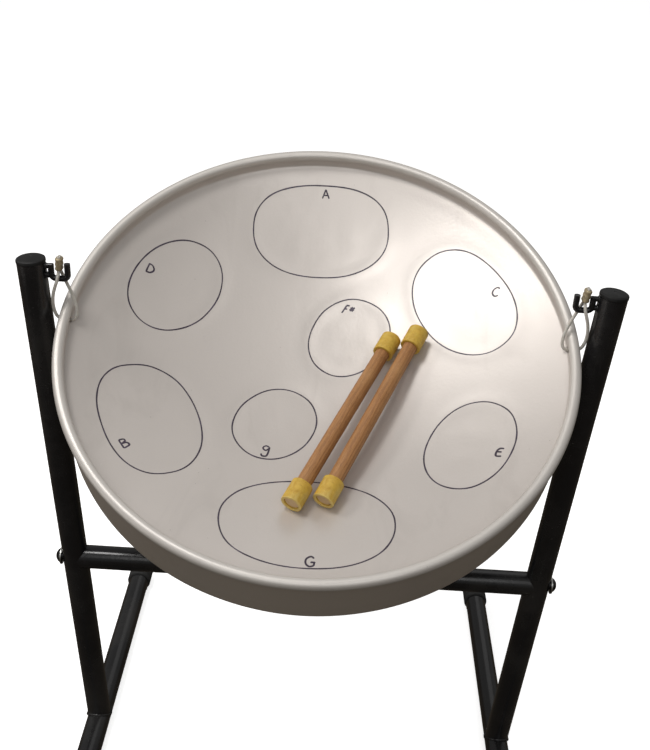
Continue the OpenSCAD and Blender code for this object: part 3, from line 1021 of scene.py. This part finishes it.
def build_stand():
    for name in SIDES:
        finish_cad(f"{name}_post", BLACK_ENAMEL)
        finish_cad(f"{name}_foot_bar", BLACK_ENAMEL)
        finish_cad(f"{name}_hook", HOOK_ENAMEL)
        top, up = post_line(name)
        place = Matrix.Translation(top) @ up.to_track_quat("Z", "Y").to_matrix().to_4x4()
        piece(f"{name}_cap", cap_solid(), "stand", CAP_PLASTIC, place,
              [f"{name}_post_cap"])
        piece(f"{name}_foot_weld", weld_bead(foot_joint_line(name), 1.5 * MM), "stand",
              BLACK_ENAMEL, sharp=80)
        hook_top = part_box(f"{name}_hook")[1].z
        beads = [weld_bead(stub_joint_line(name, hook_top - drop), 0.7 * MM)
                 for drop in STUB_DROPS]
        piece(f"{name}_hook_weld", join(*beads), "stand", HOOK_ENAMEL, sharp=80)
        for end_name in ("front", "rear"):
            piece(f"{name}_{end_name}_boot", foot_solid(name, end_name), "stand",
                  FOOT_RUBBER, None, [f"{name}_{end_name}_foot"], sharp=50)
    finish_cad("cross_bar", BLACK_ENAMEL)
    finish_cad("cross_bar_inserts", INSERT_PLASTIC)
    finish_cad("cross_bar_bolts", BOLT_STEEL)
    finish_cad("cross_bar_washers", WASHER_STEEL)


# ---------------------------------------------------------------- stage
FLOOR_HALF = 30.0
CAMERA_PLACE = (0.0086, -0.7037, 0.8015)
CAMERA_LENS = 48.02
# Pitch downwards, yaw to the right and roll, in degrees
CAMERA_TURNS = (28.84, -0.17, 3.4)
# Each lamp: its name, its direction from the pan, distance, size, power and colour
LAMPS = [
    ("key_light", (-0.34, -0.14, 0.92), 1.7, 0.50, 11.5, (1.0, 0.985, 0.97)),
    ("left_light", (-0.74, 0.05, 0.68), 1.7, 0.35, 6.5, (1.0, 0.98, 0.96)),
    ("back_light", (0.25, 0.85, 0.75), 2.4, 1.4, 3, (1, 1, 1)),
    ("front_light", (0.0, -0.80, 0.66), 2.4, 1.3, 12, (1, 1, 1)),
    ("side_light", (-0.95, -0.45, -0.10), 1.9, 0.8, 3.0, (1.0, 0.96, 0.92)),
]


def build_floor():
    half = FLOOR_HALF
    mesh = bpy.data.meshes.new("floor")
    mesh.from_pydata([(-half, -half, 0), (half, -half, 0), (half, half, 0), (-half, half, 0)],
                     [], [(0, 1, 2, 3)])
    floor = bpy.data.objects.new("floor", mesh)
    bpy.context.scene.collection.objects.link(floor)
    f = Finish("floor_paper", (0.92, 0.92, 0.915, 1), 0.85, Emission_Strength=0.74,
               Emission_Color=(1, 1, 1, 1))
    f.tint(f.span(f.noise(3, 3, 0.5), 0.4, 0.7, 0.0, 0.5), (0.90, 0.90, 0.895, 1))
    mesh.materials.append(f.material)
    floor.visible_glossy = False
    floor.visible_diffuse = False


def build_camera():
    """The camera, placed where the perspective of the hung pan and its posts puts it."""
    camera = bpy.data.objects.new("camera", bpy.data.cameras.new("camera"))
    camera.data.lens = CAMERA_LENS
    camera.data.sensor_width = 36
    camera.data.clip_start = 0.01
    pitch, yaw, roll = (math.radians(turn) for turn in CAMERA_TURNS)
    ahead = Vector((math.sin(yaw) * math.cos(pitch), math.cos(yaw) * math.cos(pitch),
                    -math.sin(pitch)))
    right = Vector((math.cos(yaw), -math.sin(yaw), 0))
    up = right.cross(ahead)
    turned_right = right * math.cos(roll) + up * math.sin(roll)
    turned_up = up * math.cos(roll) - right * math.sin(roll)
    axes = Matrix((turned_right, turned_up, -ahead)).transposed().to_4x4()
    camera.matrix_world = Matrix.Translation(CAMERA_PLACE) @ axes
    bpy.context.scene.collection.objects.link(camera)
    bpy.context.scene.camera = camera


def soft_box(name, direction, distance, size, power, colour):
    """A square lamp that looks at the pan's middle from a direction."""
    lamp = bpy.data.lights.new(name, "AREA")
    lamp.shape = "SQUARE"
    lamp.size = size
    lamp.energy = power
    lamp.color = colour
    made = bpy.data.objects.new(name, lamp)
    way = Vector(direction).normalized()
    target = PAN.translation
    made.matrix_world = Matrix.Translation(target + way * distance) @ (
        way.to_track_quat("Z", "Y").to_matrix().to_4x4())
    bpy.context.scene.collection.objects.link(made)


def build_world():
    """An even pale room above the horizon, and a dim one below it."""
    world = bpy.data.worlds.new("room")
    world.use_nodes = True
    tree = world.node_tree
    back = tree.nodes["Background"]
    where = tree.nodes.new("ShaderNodeTexCoord")
    split = tree.nodes.new("ShaderNodeSeparateXYZ")
    ramp = tree.nodes.new("ShaderNodeValToRGB")
    path = tree.nodes.new("ShaderNodeLightPath")
    seen = tree.nodes.new("ShaderNodeMix")
    seen.data_type = "RGBA"
    shift = tree.nodes.new("ShaderNodeMath")
    shift.operation = "MULTIPLY_ADD"
    shift.inputs[1].default_value = 0.5
    shift.inputs[2].default_value = 0.5
    stops = [(0.0, (0.055, 0.045, 0.034, 1)), (0.47, (0.078, 0.062, 0.044, 1)),
             (0.56, (0.24, 0.24, 0.235, 1)), (1.0, (0.31, 0.305, 0.30, 1))]
    while len(ramp.color_ramp.elements) < len(stops):
        ramp.color_ramp.elements.new(0.5)
    for element, (place, colour) in zip(ramp.color_ramp.elements, stops):
        element.position = place
        element.color = colour
    tree.links.new(where.outputs["Generated"], split.inputs["Vector"])
    tree.links.new(split.outputs["Z"], shift.inputs[0])
    tree.links.new(shift.outputs[0], ramp.inputs["Fac"])
    tree.links.new(path.outputs["Is Camera Ray"], seen.inputs[0])
    tree.links.new(ramp.outputs["Color"], seen.inputs[6])
    seen.inputs[7].default_value = (1, 1, 1, 1)
    tree.links.new(seen.outputs[2], back.inputs["Color"])
    back.inputs["Strength"].default_value = 1.0
    bpy.context.scene.world = world


build_pan()
build_cords()
build_mallets()
build_stand()
build_floor()
build_camera()
build_world()
for lamp in LAMPS:
    soft_box(*lamp)
bpy.context.scene.view_settings.view_transform = "Standard"
